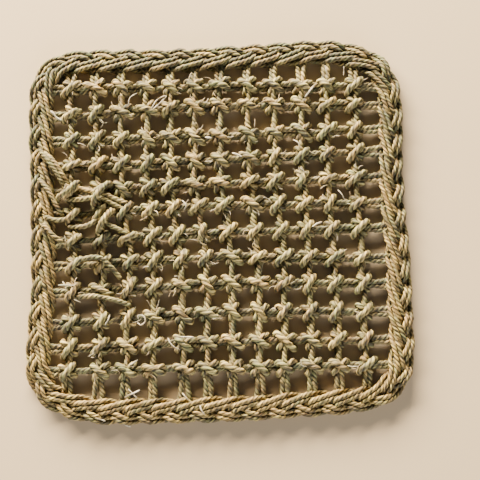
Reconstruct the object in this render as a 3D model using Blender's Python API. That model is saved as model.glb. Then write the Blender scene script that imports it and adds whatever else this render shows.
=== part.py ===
"""Straw pet mat: an open knotted net of twisted cord with a wide plaited border, lying flat."""

import math
from collections import namedtuple

import bpy
import numpy as np

# Sizes in metres. X runs across the mat, Y up its length, Z up from the surface it lies on.
CORD_HALF_WIDTH = 0.0015
CORD_HALF_HEIGHT = 0.0014
CLEARANCE = 0.0003

# The border is a flat plait of four closed cords, each shifted by a quarter of a cycle.
PLAIT_CORDS = 4
PLAIT_CYCLES = 13
PLAIT_SIDES = 5

# One cycle of a plaited cord, counter-clockwise round the mat as seen from above.
# share: part of the cycle, out: distance outward from the mid-line, up: height of the cord's centre
PlaitRow = namedtuple("PlaitRow", "share out up")
PLAIT_CYCLE = (
    PlaitRow(0.000, -0.0042, 0.0016),  # leaves the inner turn
    PlaitRow(0.085, -0.0025, 0.0012),  # under the first inward cord
    PlaitRow(0.165, 0.0000, 0.0012),  # under the second inward cord
    PlaitRow(0.208, 0.0012, 0.0027),  # comes up at mid-width
    PlaitRow(0.262, 0.0029, 0.0045),  # over the third inward cord
    PlaitRow(0.335, 0.0045, 0.0041),
    PlaitRow(0.415, 0.0048, 0.0020),  # outer turn
    PlaitRow(0.500, 0.0040, 0.0012),  # under an outward cord
    PlaitRow(0.550, 0.0026, 0.0012),
    PlaitRow(0.600, 0.0010, 0.0034),  # over the next two outward cords
    PlaitRow(0.660, -0.0006, 0.0046),
    PlaitRow(0.820, -0.0031, 0.0046),
    PlaitRow(0.920, -0.0044, 0.0031),  # inner turn
)

# Mid-line of the border, counter-clockwise from the middle of the right side.
Anchor = namedtuple("Anchor", "x y")
BORDER_LINE = (
    Anchor(0.0998, -0.010),
    Anchor(0.0974, 0.016),
    Anchor(0.0968, 0.042),
    Anchor(0.0972, 0.068),
    Anchor(0.0950, 0.085),
    Anchor(0.0875, 0.0965),
    Anchor(0.0740, 0.1020),
    Anchor(0.0580, 0.1038),
    Anchor(0.0350, 0.1025),
    Anchor(0.0050, 0.1003),
    Anchor(-0.0250, 0.0985),
    Anchor(-0.0550, 0.0985),
    Anchor(-0.0770, 0.0979),
    Anchor(-0.0890, 0.0960),
    Anchor(-0.0975, 0.0890),
    Anchor(-0.1000, 0.0770),
    Anchor(-0.0996, 0.056),
    Anchor(-0.0986, 0.030),
    Anchor(-0.0976, 0.000),
    Anchor(-0.0967, -0.032),
    Anchor(-0.0982, -0.060),
    Anchor(-0.0978, -0.078),
    Anchor(-0.0920, -0.0885),
    Anchor(-0.0810, -0.0945),
    Anchor(-0.0620, -0.0982),
    Anchor(-0.0420, -0.0980),
    Anchor(-0.0100, -0.0972),
    Anchor(0.0220, -0.0962),
    Anchor(0.0500, -0.0940),
    Anchor(0.0750, -0.0918),
    Anchor(0.0890, -0.0885),
    Anchor(0.0975, -0.0810),
    Anchor(0.1010, -0.0690),
    Anchor(0.1004, -0.038),
)

# Where each lengthwise cord pair crosses weft 1, 5, 8 and 12, from the left.
Warp = namedtuple("Warp", "top upper lower bottom")
WARPS = (
    Warp(-0.0834, -0.0817, -0.0798, -0.0820),
    Warp(-0.0699, -0.0667, -0.0638, -0.0650),
    Warp(-0.0551, -0.0538, -0.0488, -0.0502),
    Warp(-0.0410, -0.0392, -0.0352, -0.0354),
    Warp(-0.0274, -0.0269, -0.0205, -0.0184),
    Warp(-0.0138, -0.0129, -0.0066, -0.0053),
    Warp(0.0004, 0.0011, 0.0078, 0.0084),
    Warp(0.0162, 0.0179, 0.0223, 0.0232),
    Warp(0.0310, 0.0319, 0.0367, 0.0369),
    Warp(0.0468, 0.0470, 0.0506, 0.0518),
    Warp(0.0610, 0.0616, 0.0645, 0.0666),
    Warp(0.0768, 0.0773, 0.0800, 0.0819),
)
WARP_AT_WEFT = (0, 4, 7, 11)

# Height on the mat of each crosswise cord pair at its left end, middle and right end, from the top.
Weft = namedtuple("Weft", "left middle right")
WEFTS = (
    Weft(0.0822, 0.0839, 0.0839),
    Weft(0.0668, 0.0729, 0.0729),
    Weft(0.0522, 0.0550, 0.0588),
    Weft(0.0376, 0.0413, 0.0459),
    Weft(0.0231, 0.0282, 0.0310),
    Weft(0.0095, 0.0160, 0.0166),
    Weft(-0.0048, 0.0005, 0.0027),
    Weft(-0.0184, -0.0135, -0.0141),
    Weft(-0.0333, -0.0280, -0.0283),
    Weft(-0.0506, -0.0440, -0.0438),
    Weft(-0.0641, -0.0605, -0.0593),
    Weft(-0.0767, -0.0747, -0.0731),
)
WEFT_SPAN = (-0.0835, 0.0030, 0.0800)

# A knot: four arms leave it, a thick band lies diagonally on top, and a petal fills each free corner.
ARM_START = 0.0031
ARM_SIDE = 0.0016
ARM_FOOT = 0.0010
ARM_RISE = 0.0016
ARM_DROP = 0.0014
WEFT_HEIGHT = 0.0038
WARP_HEIGHT = 0.0048
BAND_LENGTH = 0.0062
BAND_TOP = 0.0088
BAND_END_REACH = 0.0054
BAND_END_HEIGHT = 0.0048
GROOVE_LENGTH = 0.0036
GROOVE_APART = 0.0040
GROOVE_HEIGHT = 0.0062
PETAL_REACH = 0.0052
PETAL_TOP = 0.0072
FOOT_REACH = 0.0026
KNOT_SWING = math.radians(9)

# At the border the two cords of a pair lie side by side.
PAIR_SIDE = 0.0027
PAIR_FOOT = 0.0018
PAIR_CROWN = 0.0014
PAIR_VALLEY = 0.0004
PAIR_STEP = 0.0002
PAIR_MOST_REACH = 0.0150

# Knots whose band leans the other way from its neighbours: (weft, warp), counted from 0 at the top left.
ODD_KNOTS = {(1, 4), (2, 9), (4, 2), (5, 7), (7, 5), (8, 1), (9, 8), (10, 3)}

NET_COLOUR = (0.40, 0.35, 0.22, 1.0)
PLAIT_COLOURS = (
    (0.36, 0.33, 0.20, 1.0),
    (0.42, 0.36, 0.22, 1.0),
    (0.38, 0.33, 0.19, 1.0),
    (0.45, 0.38, 0.24, 1.0),
)
STRAW_ROUGHNESS = 0.75
SMOOTH_ANGLE = math.radians(50)

EAST, NORTH, WEST, SOUTH = range(4)


def clear_scene():
    """Removes every object of the starting scene."""
    for obj in list(bpy.data.objects):
        bpy.data.objects.remove(obj, do_unlink=True)


def straw_material(name, colour):
    """A matt dry straw of one colour."""
    material = bpy.data.materials.new(name)
    material.use_nodes = True
    surface = material.node_tree.nodes["Principled BSDF"]
    surface.inputs["Base Color"].default_value = colour
    surface.inputs["Roughness"].default_value = STRAW_ROUGHNESS
    surface.inputs["Metallic"].default_value = 0.0
    return material


def add_solid(name, points, faces, material):
    """Adds one closed mesh object with its own material, shaded smooth."""
    mesh = bpy.data.meshes.new(name)
    mesh.from_pydata([tuple(point) for point in points], [], faces)
    mesh.materials.append(material)
    mesh.shade_smooth()
    mesh.set_sharp_from_angle(angle=SMOOTH_ANGLE)
    obj = bpy.data.objects.new(name, mesh)
    bpy.context.scene.collection.objects.link(obj)
    return obj


def closed_curve(anchors, steps_between=12):
    """Points of a smooth closed curve through the anchors (centripetal Catmull-Rom)."""
    anchors = np.array(anchors, float)
    count = len(anchors)
    points = []
    for index in range(count):
        before, start, end, after = (anchors[(index + shift) % count] for shift in (-1, 0, 1, 2))
        knots = [0.0]
        for first, second in ((before, start), (start, end), (end, after)):
            knots.append(knots[-1] + math.sqrt(np.linalg.norm(second - first)))
        for step in range(steps_between):
            at = knots[1] + (knots[2] - knots[1]) * step / steps_between
            a1 = before + (start - before) * (at - knots[0]) / (knots[1] - knots[0])
            a2 = start + (end - start) * (at - knots[1]) / (knots[2] - knots[1])
            a3 = end + (after - end) * (at - knots[2]) / (knots[3] - knots[2])
            b1 = a1 + (a2 - a1) * (at - knots[0]) / (knots[2] - knots[0])
            b2 = a2 + (a3 - a2) * (at - knots[1]) / (knots[3] - knots[1])
            points.append(b1 + (b2 - b1) * (at - knots[1]) / (knots[2] - knots[1]))
    return np.array(points)


class MidLine:
    """The border's mid-line, read by the share of the way round."""

    def __init__(self, anchors):
        loop = closed_curve(anchors)
        self.points = np.vstack([loop, loop[:1]])
        lengths = np.linalg.norm(np.diff(self.points, axis=0), axis=1)
        self.shares = np.concatenate([[0.0], np.cumsum(lengths)]) / lengths.sum()

    def at(self, share):
        """The point at this share of the way round, as (x, y)."""
        share %= 1.0
        return np.array([np.interp(share, self.shares, self.points[:, axis]) for axis in (0, 1)])

    def outward(self, share, reach=0.004):
        """The unit vector that points out of the mat, from a short chord of the line."""
        ahead = self.at(share + reach) - self.at(share - reach)
        return np.array([ahead[1], -ahead[0]]) / np.linalg.norm(ahead)


def plait_centres(line, cord):
    """The centre points of one plaited cord all the way round."""
    centres = []
    for cycle in range(PLAIT_CYCLES):
        for row in PLAIT_CYCLE:
            share = (cycle + row.share + cord / PLAIT_CORDS) / PLAIT_CYCLES
            x, y = line.at(share) + line.outward(share) * row.out
            centres.append((x, y, row.up))
    return np.array(centres)


def plait_solid(centres):
    """Points and faces of a closed tube along the centres, with one edge of its section on top."""
    ahead = np.roll(centres, -1, axis=0) - np.roll(centres, 1, axis=0)
    ahead /= np.linalg.norm(ahead, axis=1)[:, None]
    side = np.cross((0.0, 0.0, 1.0), ahead)
    side /= np.linalg.norm(side, axis=1)[:, None]
    above = np.cross(ahead, side)
    points = []
    for centre, across, up in zip(centres, side, above):
        for corner in range(PLAIT_SIDES):
            turn = math.pi / 2 + 2 * math.pi * corner / PLAIT_SIDES
            aside = CORD_HALF_WIDTH * math.cos(turn) * across
            point = centre + aside + CORD_HALF_HEIGHT * math.sin(turn) * up
            point[2] = max(point[2], 0.0)
            points.append(point)
    rings = len(centres)
    faces = []
    for ring in range(rings):
        here = ring * PLAIT_SIDES
        there = (ring + 1) % rings * PLAIT_SIDES
        for corner in range(PLAIT_SIDES):
            other = (corner + 1) % PLAIT_SIDES
            faces.append((here + other, there + other, there + corner, here + corner))
    return np.array(points), faces


def knot_place(weft, warp):
    """The centre of a knot, as (x, y)."""
    x = np.interp(weft, WARP_AT_WEFT, WARPS[warp])
    y = np.interp(x, WEFT_SPAN, WEFTS[weft])
    return np.array([x, y])


def band_leans_right(weft, warp):
    """True where the band on top runs from the lower left to the upper right."""
    middle = (len(WEFTS) - 1) / 2
    leans = abs(warp - middle) >= abs(weft - middle)
    return leans != ((weft, warp) in ODD_KNOTS)


def turned(vector, angle):
    """The vector turned counter-clockwise."""
    cos, sin = math.cos(angle), math.sin(angle)
    return np.array([cos * vector[0] - sin * vector[1], sin * vector[0] + cos * vector[1]])


class NetMesh:
    """The knotted net as one closed mesh: knots joined by arms, with the gaps between them open."""

    def __init__(self, places, cord_points):
        self.places = places
        self.cord_points = cord_points
        self.points = []
        self.faces = []
        self.rings = {}

    def add(self, place, height):
        """Adds a point over a place and returns its number."""
        self.points.append((place[0], place[1], height))
        return len(self.points) - 1

    def arm_direction(self, weft, warp, arm):
        """The unit vector from a knot to its neighbour, or straight out at the net's edge."""
        step = {EAST: (0, 1), NORTH: (-1, 0), WEST: (0, -1), SOUTH: (1, 0)}[arm]
        there = self.places.get((weft + step[0], warp + step[1]))
        if there is None:
            opposite = self.places[(weft - step[0], warp - step[1])]
            ahead = self.places[(weft, warp)] - opposite
        else:
            ahead = there - self.places[(weft, warp)]
        return ahead / np.linalg.norm(ahead)

    def arm_ring(self, weft, warp, arm, ahead):
        """The five points where an arm leaves its knot: top, left side, left foot, right foot, right side."""
        height = WARP_HEIGHT if arm in (NORTH, SOUTH) else WEFT_HEIGHT
        start = self.places[(weft, warp)] + ahead * ARM_START
        left = turned(ahead, math.pi / 2)
        ring = (
            self.add(start, height + ARM_RISE),
            self.add(start + left * ARM_SIDE, height),
            self.add(start + left * ARM_FOOT, height - ARM_DROP),
            self.add(start - left * ARM_FOOT, height - ARM_DROP),
            self.add(start - left * ARM_SIDE, height),
        )
        self.rings[(weft, warp, arm)] = ring
        return ring

    def knot(self, weft, warp):
        """Adds one knot with its band, its lobes and its flat foot."""
        centre = self.places[(weft, warp)]
        aheads = [self.arm_direction(weft, warp, arm) for arm in range(4)]
        rings = [self.arm_ring(weft, warp, arm, ahead) for arm, ahead in enumerate(aheads)]
        corners = [aheads[arm] + aheads[(arm + 1) % 4] for arm in range(4)]
        corners = [corner / np.linalg.norm(corner) for corner in corners]
        leans_right = band_leans_right(weft, warp)
        swing = KNOT_SWING * math.sin(2.3 * weft + 3.7 * warp)
        along = turned(corners[0] if leans_right else corners[1], swing)
        across = turned(along, math.pi / 2)
        lobes = []
        ridge = {}
        for corner_number, corner in enumerate(corners):
            outward = turned(corner, swing)
            if (corner_number % 2 == 0) == leans_right:
                lobes.append(self.add(centre + outward * BAND_END_REACH, BAND_END_HEIGHT))
                ridge[corner_number] = self.add(centre + outward * BAND_LENGTH / 2, BAND_TOP)
            else:
                lobes.append(self.add(centre + outward * PETAL_REACH, PETAL_TOP))
        feet = [self.add(centre + corner * FOOT_REACH, 0.0) for corner in corners]
        half_length = along * GROOVE_LENGTH / 2
        half_apart = across * GROOVE_APART / 2
        ends = ((1, -1), (1, 1), (-1, 1), (-1, -1))
        grooves = [
            self.add(centre + half_length * ahead + half_apart * aside, GROOVE_HEIGHT)
            for ahead, aside in ends
        ]
        if not leans_right:
            grooves = grooves[-1:] + grooves[:-1]
        self.knot_faces(rings, lobes, ridge, feet, grooves)

    def knot_faces(self, rings, lobes, ridge, feet, grooves):
        """Closes the skin between a knot's four arm rings, its lobes, its foot and the ridge of its band."""
        for arm in range(4):
            other = (arm + 1) % 4
            lobe = lobes[arm]
            top, left, left_foot, _, _ = rings[arm]
            next_top, _, next_left_foot, next_right_foot, next_right = rings[other]
            around = (grooves[other], next_top, next_right, next_right_foot)
            around += (feet[arm], left_foot, left, top, grooves[arm])
            for first, second in zip(around, around[1:]):
                self.faces.append((lobe, second, first))
            if arm in ridge:
                self.faces.append((lobe, grooves[other], ridge[arm]))
                self.faces.append((lobe, ridge[arm], grooves[arm]))
            else:
                self.faces.append((lobe, grooves[other], grooves[arm]))
                self.faces.append((ridge[(arm - 1) % 4], grooves[arm], grooves[other], ridge[other]))
            self.faces.append((feet[arm], feet[other], next_left_foot, next_right_foot))
        self.faces.append(tuple(reversed(feet)))

    def join_arms(self, ring, facing):
        """Joins the rings of two arms that face each other."""
        top, left, left_foot, right_foot, right = ring
        near = (top, right, right_foot, left_foot, left)
        far = tuple(facing)
        for index in range(5):
            after = (index + 1) % 5
            self.faces.append((near[index], near[after], far[after], far[index]))

    def pair_points(self, start, ahead, height):
        """The seven points of two cords side by side, ordered as an arm ring whose top is split in three."""
        left = turned(ahead, math.pi / 2)
        shape = (
            (-PAIR_CROWN, ARM_RISE),
            (0.0, PAIR_VALLEY),
            (PAIR_CROWN, ARM_RISE),
            (PAIR_SIDE, 0.0),
            (PAIR_FOOT, -ARM_DROP),
            (-PAIR_FOOT, -ARM_DROP),
            (-PAIR_SIDE, 0.0),
        )
        return [(*(start + left * aside), height + rise) for aside, rise in shape]

    def reach_to_border(self, place, ahead, height):
        """How far an edge arm can run before it meets the plait, less the clearance."""
        reach = ARM_START + PAIR_STEP
        clear = CORD_HALF_WIDTH + CLEARANCE
        while reach < PAIR_MOST_REACH:
            ends = np.array(self.pair_points(place + ahead * (reach + PAIR_STEP), ahead, height))
            ends = np.concatenate([ends, (ends + np.roll(ends, -1, axis=0)) / 2])
            gaps = np.linalg.norm(ends[:, None, :] - self.cord_points[None, :, :], axis=2)
            if gaps.min() < clear:
                break
            reach += PAIR_STEP
        return reach

    def edge_arm(self, weft, warp, arm):
        """Runs an arm of the net's edge out to the border, where its two cords part."""
        ahead = self.arm_direction(weft, warp, arm)
        place = self.places[(weft, warp)]
        height = WARP_HEIGHT if arm in (NORTH, SOUTH) else WEFT_HEIGHT
        end = place + ahead * self.reach_to_border(place, ahead, height)
        ends = [self.add(point[:2], point[2]) for point in self.pair_points(end, ahead, height)]
        right_crown, valley, left_crown, left, left_foot, right_foot, right = ends
        top, near_left, near_left_foot, near_right_foot, near_right = self.rings[(weft, warp, arm)]
        self.faces.append((top, valley, left_crown))
        self.faces.append((top, right_crown, valley))
        self.faces.append((near_left, top, left_crown, left))
        self.faces.append((near_left_foot, near_left, left, left_foot))
        self.faces.append((near_right_foot, near_left_foot, left_foot, right_foot))
        self.faces.append((near_right, near_right_foot, right_foot, right))
        self.faces.append((top, near_right, right, right_crown))
        self.faces.append(tuple(reversed(ends)))

    def build(self):
        """Adds every knot and every arm."""
        wefts, warps = len(WEFTS), len(WARPS)
        for weft, warp in self.places:
            self.knot(weft, warp)
        for weft in range(wefts):
            for warp in range(warps - 1):
                self.join_arms(self.rings[(weft, warp, EAST)], self.rings[(weft, warp + 1, WEST)])
            self.edge_arm(weft, 0, WEST)
            self.edge_arm(weft, warps - 1, EAST)
        for warp in range(warps):
            for weft in range(wefts - 1):
                self.join_arms(self.rings[(weft, warp, SOUTH)], self.rings[(weft + 1, warp, NORTH)])
            self.edge_arm(0, warp, NORTH)
            self.edge_arm(wefts - 1, warp, SOUTH)
        return np.array(self.points), self.faces


def points_along(centres, steps=4):
    """Points along a closed run of centres, close enough together to measure a gap from."""
    following = np.roll(centres, -1, axis=0)
    return np.concatenate([centres + (following - centres) * step / steps for step in range(steps)])


def main():
    """Builds the net and the four cords of the plaited border, centred over the origin."""
    clear_scene()
    line = MidLine(BORDER_LINE)
    cords = [plait_centres(line, cord) for cord in range(PLAIT_CORDS)]
    solids = {}
    for number, centres in enumerate(cords, start=1):
        material = straw_material(f"plait_straw_{number}", PLAIT_COLOURS[number - 1])
        solids[f"border_cord_{number}"] = (*plait_solid(centres), material)
    places = {
        (weft, warp): knot_place(weft, warp)
        for weft in range(len(WEFTS))
        for warp in range(len(WARPS))
    }
    cord_points = np.concatenate([points_along(centres) for centres in cords])
    net = NetMesh(places, cord_points)
    solids["knotted_net"] = (*net.build(), straw_material("net_straw", NET_COLOUR))

    everything = np.concatenate([points for points, _, _ in solids.values()])
    middle = (everything.min(axis=0) + everything.max(axis=0)) / 2
    middle[2] = 0.0
    for name, (points, faces, material) in solids.items():
        add_solid(name, points - middle, faces, material)


main()
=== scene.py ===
"""Looks of the straw pet mat: twisted cords, tied knots and a plaited border over its solid model."""
import logging
import math
from dataclasses import dataclass
from enum import Enum
from typing import Dict, List, Optional, Sequence, Tuple

import bpy
import numpy as np
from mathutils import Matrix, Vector


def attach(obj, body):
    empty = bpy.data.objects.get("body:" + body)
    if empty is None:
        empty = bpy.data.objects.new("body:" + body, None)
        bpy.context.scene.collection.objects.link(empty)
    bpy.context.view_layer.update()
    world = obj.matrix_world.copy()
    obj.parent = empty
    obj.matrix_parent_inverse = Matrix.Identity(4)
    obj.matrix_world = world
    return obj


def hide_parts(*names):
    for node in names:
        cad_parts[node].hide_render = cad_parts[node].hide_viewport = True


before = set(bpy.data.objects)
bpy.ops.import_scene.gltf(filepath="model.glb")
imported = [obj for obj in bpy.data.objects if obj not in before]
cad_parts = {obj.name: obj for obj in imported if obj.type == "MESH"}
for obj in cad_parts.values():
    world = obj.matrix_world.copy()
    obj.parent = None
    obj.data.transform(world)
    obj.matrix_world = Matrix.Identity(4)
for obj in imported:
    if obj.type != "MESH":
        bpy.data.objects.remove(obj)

logging.basicConfig(level=logging.INFO, format="%(message)s")
log = logging.getLogger("mat")

SEED = 20
BODY = "root"
# How many of each there are in a metre.
CENTIMETRES = 100.0
MILLIMETRES = 1000.0
# Added to what is divided by, so that it is never nought.
TINY = 1e-15
TINY_STEP = 1e-9
# Which way the plies of every cord turn on their way along it: as a left-hand screw.
LAY = -1.0
# A direction that no cord starts along, which gives its first normal.
ASIDE = (0.3, 0.2, 1.0)

Colour = Tuple[float, float, float, float]
Point = Tuple[float, float, float]
Span = Tuple[float, float]


class Slot(Enum):
    """The record's material slots."""

    NET = "net_straw"
    BORDER = "border_straw"


@dataclass(frozen=True)
class Wave:
    """A slow change along a cord: its strength, its radians for each metre and where it starts."""

    strength: float
    rate: float
    start: float

    def along(self, run: np.ndarray, turn: float) -> np.ndarray:
        """Its value at each distance along a cord whose first ply starts at this turn."""
        return self.strength * np.sin(run * self.rate + turn * self.start)


@dataclass(frozen=True)
class CordSizes:
    """A twisted cord, in metres; the ply values are shares of its radius, or of a ply's share of the turn."""

    diameter: float = 0.0032
    pitch: float = 0.0086
    ring_gap: float = 0.0006
    plies: int = 3
    ply_shift: float = 0.37
    ply_radius: float = 0.63
    ply_span: float = 0.66
    points_per_ply: int = 3
    rough: float = 0.025
    rough_own: float = 1.5
    swellings: Tuple[Wave, ...] = (Wave(0.05, 410.0, 3.0), Wave(0.03, 1130.0, 0.0))


@dataclass(frozen=True)
class StrawTones:
    """How a cord's tone and hue, both from 0 to 1, change along it and from ply to ply."""

    usual_tones: Span = (0.35, 0.75)
    hue_evenness: float = 5.0
    tone_waves: Tuple[Wave, ...] = (Wave(0.12, 95.0, 5.0), Wave(0.12, 560.0, 1.0))
    hue_wave: Wave = Wave(0.20, 170.0, 2.0)
    ply_tone: float = 0.12
    ply_hue: float = 0.22
    ply_turn: float = 2.4
    hue_paling: float = 1.5
    pattern_length: float = 50.0


@dataclass(frozen=True)
class PlaitRow:
    """A place in one cycle of a plaited cord: share of the cycle, distance outward and height, in metres."""

    share: float
    out: float
    up: float


@dataclass(frozen=True)
class Warp:
    """Where a lengthwise cord pair crosses weft 1, 5, 8 and 12, in metres from the middle line."""

    top: float
    upper: float
    lower: float
    bottom: float


@dataclass(frozen=True)
class Weft:
    """How high on the mat a crosswise cord pair lies at its left, middle and right."""

    left: float
    middle: float
    right: float


@dataclass(frozen=True)
class MatSizes:
    """The mat's layout, as its solid model has it, in metres."""

    tables_middle: Tuple[float, float] = (0.00068, 0.00275)
    warp_at_weft: Tuple[int, ...] = (0, 4, 7, 11)
    weft_span: Tuple[float, ...] = (-0.0835, 0.0030, 0.0800)
    plait_cords: int = 4
    plait_cycles: int = 13
    border_step: float = 0.004
    border_points: int = 12
    odd_knots: Tuple[Tuple[int, int], ...] = (
        (1, 4), (2, 9), (4, 2), (5, 7), (7, 5), (8, 1), (9, 8), (10, 3),
    )


WARPS = (
    Warp(-0.0834, -0.0817, -0.0798, -0.0820),
    Warp(-0.0699, -0.0667, -0.0638, -0.0650),
    Warp(-0.0551, -0.0538, -0.0488, -0.0502),
    Warp(-0.0410, -0.0392, -0.0352, -0.0354),
    Warp(-0.0274, -0.0269, -0.0205, -0.0184),
    Warp(-0.0138, -0.0129, -0.0066, -0.0053),
    Warp(0.0004, 0.0011, 0.0078, 0.0084),
    Warp(0.0162, 0.0179, 0.0223, 0.0232),
    Warp(0.0310, 0.0319, 0.0367, 0.0369),
    Warp(0.0468, 0.0470, 0.0506, 0.0518),
    Warp(0.0610, 0.0616, 0.0645, 0.0666),
    Warp(0.0768, 0.0773, 0.0800, 0.0819),
)

WEFTS = (
    Weft(0.0822, 0.0839, 0.0839),
    Weft(0.0668, 0.0729, 0.0729),
    Weft(0.0522, 0.0550, 0.0588),
    Weft(0.0376, 0.0413, 0.0459),
    Weft(0.0231, 0.0282, 0.0310),
    Weft(0.0095, 0.0160, 0.0166),
    Weft(-0.0048, 0.0005, 0.0027),
    Weft(-0.0184, -0.0135, -0.0141),
    Weft(-0.0333, -0.0280, -0.0283),
    Weft(-0.0506, -0.0440, -0.0438),
    Weft(-0.0641, -0.0605, -0.0593),
    Weft(-0.0767, -0.0747, -0.0731),
)

PLAIT_CYCLE = (
    PlaitRow(0.000, -0.0042, 0.0016),
    PlaitRow(0.085, -0.0025, 0.0012),
    PlaitRow(0.165, 0.0000, 0.0012),
    PlaitRow(0.208, 0.0012, 0.0027),
    PlaitRow(0.262, 0.0029, 0.0045),
    PlaitRow(0.335, 0.0045, 0.0041),
    PlaitRow(0.415, 0.0048, 0.0020),
    PlaitRow(0.500, 0.0040, 0.0012),
    PlaitRow(0.550, 0.0026, 0.0012),
    PlaitRow(0.600, 0.0010, 0.0034),
    PlaitRow(0.660, -0.0006, 0.0046),
    PlaitRow(0.820, -0.0031, 0.0046),
    PlaitRow(0.920, -0.0044, 0.0031),
)

BORDER_LINE = (
    (0.0998, -0.010), (0.0974, 0.016), (0.0968, 0.042), (0.0972, 0.068), (0.0950, 0.085),
    (0.0875, 0.0965), (0.0740, 0.1020), (0.0580, 0.1038), (0.0350, 0.1025), (0.0050, 0.1003),
    (-0.0250, 0.0985), (-0.0550, 0.0985), (-0.0770, 0.0979), (-0.0890, 0.0960), (-0.0975, 0.0890),
    (-0.1000, 0.0770), (-0.0996, 0.056), (-0.0986, 0.030), (-0.0976, 0.000), (-0.0967, -0.032),
    (-0.0982, -0.060), (-0.0978, -0.078), (-0.0920, -0.0885), (-0.0810, -0.0945), (-0.0620, -0.0982),
    (-0.0420, -0.0980), (-0.0100, -0.0972), (0.0220, -0.0962), (0.0500, -0.0940), (0.0750, -0.0918),
    (0.0890, -0.0885), (0.0975, -0.0810), (0.1010, -0.0690), (0.1004, -0.038),
)


def smooth_path(anchors: Sequence[Sequence[float]], closed: bool = False, steps: int = 8) -> np.ndarray:
    """Points of a smooth curve through the anchors (centripetal Catmull-Rom).

    Args:
        anchors: the points that the curve passes through.
        closed: whether it comes back to its first anchor.
        steps: how many points it gets between two anchors.

    Returns:
        The curve's points, one row each; a closed curve doesn't repeat its first point.
    """
    points = np.array(anchors, float)
    if closed:
        ring = np.vstack([points[-1:], points, points[:2]])
    else:
        ring = np.vstack([2 * points[0] - points[1], points, 2 * points[-1] - points[-2]])
    p0, p1, p2, p3 = ring[:-3], ring[1:-2], ring[2:-1], ring[3:]
    root = [
        np.sqrt(np.linalg.norm(b - a, axis=1))[:, None] + TINY_STEP
        for a, b in ((p0, p1), (p1, p2), (p2, p3))
    ]
    t1 = root[0]
    t2 = t1 + root[1]
    t3 = t2 + root[2]
    parts = []
    for step in range(steps):
        at = t1 + (t2 - t1) * step / steps
        a1 = p0 + (p1 - p0) * at / t1
        a2 = p1 + (p2 - p1) * (at - t1) / (t2 - t1)
        a3 = p2 + (p3 - p2) * (at - t2) / (t3 - t2)
        b1 = a1 + (a2 - a1) * at / t2
        b2 = a2 + (a3 - a2) * (at - t1) / (t3 - t1)
        parts.append(b1 + (b2 - b1) * (at - t1) / (t2 - t1))
    curve = np.stack(parts, axis=1).reshape(-1, points.shape[1])
    return curve if closed else np.vstack([curve, points[-1:]])


def even_steps(curve: np.ndarray, gap: float, closed: bool = False) -> np.ndarray:
    """The curve's points again, at even steps along it.

    Args:
        curve: the curve's points.
        gap: the wanted distance between two points.
        closed: whether the curve comes back to its first point.

    Returns:
        The points at even steps; a closed curve doesn't repeat its first point.
    """
    if closed:
        curve = np.vstack([curve, curve[:1]])
    run = np.concatenate([[0.0], np.cumsum(np.linalg.norm(np.diff(curve, axis=0), axis=1))])
    count = max(3, int(round(run[-1] / gap)))
    wanted = np.linspace(0.0, run[-1], count + 1)
    if closed:
        wanted = wanted[:-1]
    return np.stack([np.interp(wanted, run, curve[:, axis]) for axis in range(curve.shape[1])], axis=1)


class Layout:
    """Places on the mat: its knots and the mid-line of its border."""

    def __init__(self, sizes: MatSizes) -> None:
        """Reads the tables.

        Args:
            sizes: the mat's layout.
        """
        self.sizes = sizes
        self.shift = np.array(sizes.tables_middle)
        loop = smooth_path(BORDER_LINE, closed=True, steps=sizes.border_points)
        self.line = np.vstack([loop, loop[:1]])
        lengths = np.linalg.norm(np.diff(self.line, axis=0), axis=1)
        self.shares = np.concatenate([[0.0], np.cumsum(lengths)]) / lengths.sum()

    def crossings(self) -> List[Tuple[int, int]]:
        """Each knot's crosswise and lengthwise pair, from the top left."""
        return [(weft, warp) for weft in range(len(WEFTS)) for warp in range(len(WARPS))]

    def knot(self, weft: int, warp: int) -> np.ndarray:
        """The middle of a knot.

        Args:
            weft: the crosswise pair, from the top.
            warp: the lengthwise pair, from the left.

        Returns:
            Its (x, y).
        """
        row = WARPS[warp]
        x = np.interp(weft, self.sizes.warp_at_weft, (row.top, row.upper, row.lower, row.bottom))
        line = WEFTS[weft]
        y = np.interp(x, self.sizes.weft_span, (line.left, line.middle, line.right))
        return np.array([x, y]) - self.shift

    def border(self, share: float) -> Tuple[np.ndarray, np.ndarray]:
        """The border's mid-line.

        Args:
            share: how far round, from 0 to 1, counter-clockwise.

        Returns:
            The point there and the unit vector that points out of the mat.
        """
        def at(where: float) -> np.ndarray:
            """The mid-line's point at a share of the way round."""
            where %= 1.0
            return np.array([np.interp(where, self.shares, self.line[:, axis]) for axis in (0, 1)])

        ahead = at(share + self.sizes.border_step) - at(share - self.sizes.border_step)
        out = np.array([ahead[1], -ahead[0]]) / np.linalg.norm(ahead)
        return at(share) - self.shift, out

    def to_border(self, place: np.ndarray, ahead: np.ndarray) -> np.ndarray:
        """Where a line from a knot meets the border's mid-line.

        Args:
            place: the line's start.
            ahead: its direction, a unit vector.

        Returns:
            The (x, y) where it crosses the mid-line.
        """
        rel = self.line - self.shift - place
        side = rel[:, 0] * ahead[1] - rel[:, 1] * ahead[0]
        along = rel @ ahead
        best = None
        for index in range(len(side) - 1):
            if side[index] * side[index + 1] <= 0.0 and along[index] > 0.0:
                split = side[index] / (side[index] - side[index + 1] + TINY)
                reach = along[index] + split * (along[index + 1] - along[index])
                best = reach if best is None else min(best, reach)
        return place + ahead * best

    def band_leans_right(self, weft: int, warp: int) -> bool:
        """Whether a knot's upper band runs from the lower left to the upper right.

        Args:
            weft: the crosswise pair, from the top.
            warp: the lengthwise pair, from the left.

        Returns:
            True for a band like a slash.
        """
        middle = (len(WEFTS) - 1) / 2
        leans = abs(warp - middle) >= abs(weft - middle)
        return leans != ((weft, warp) in self.sizes.odd_knots)


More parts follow.
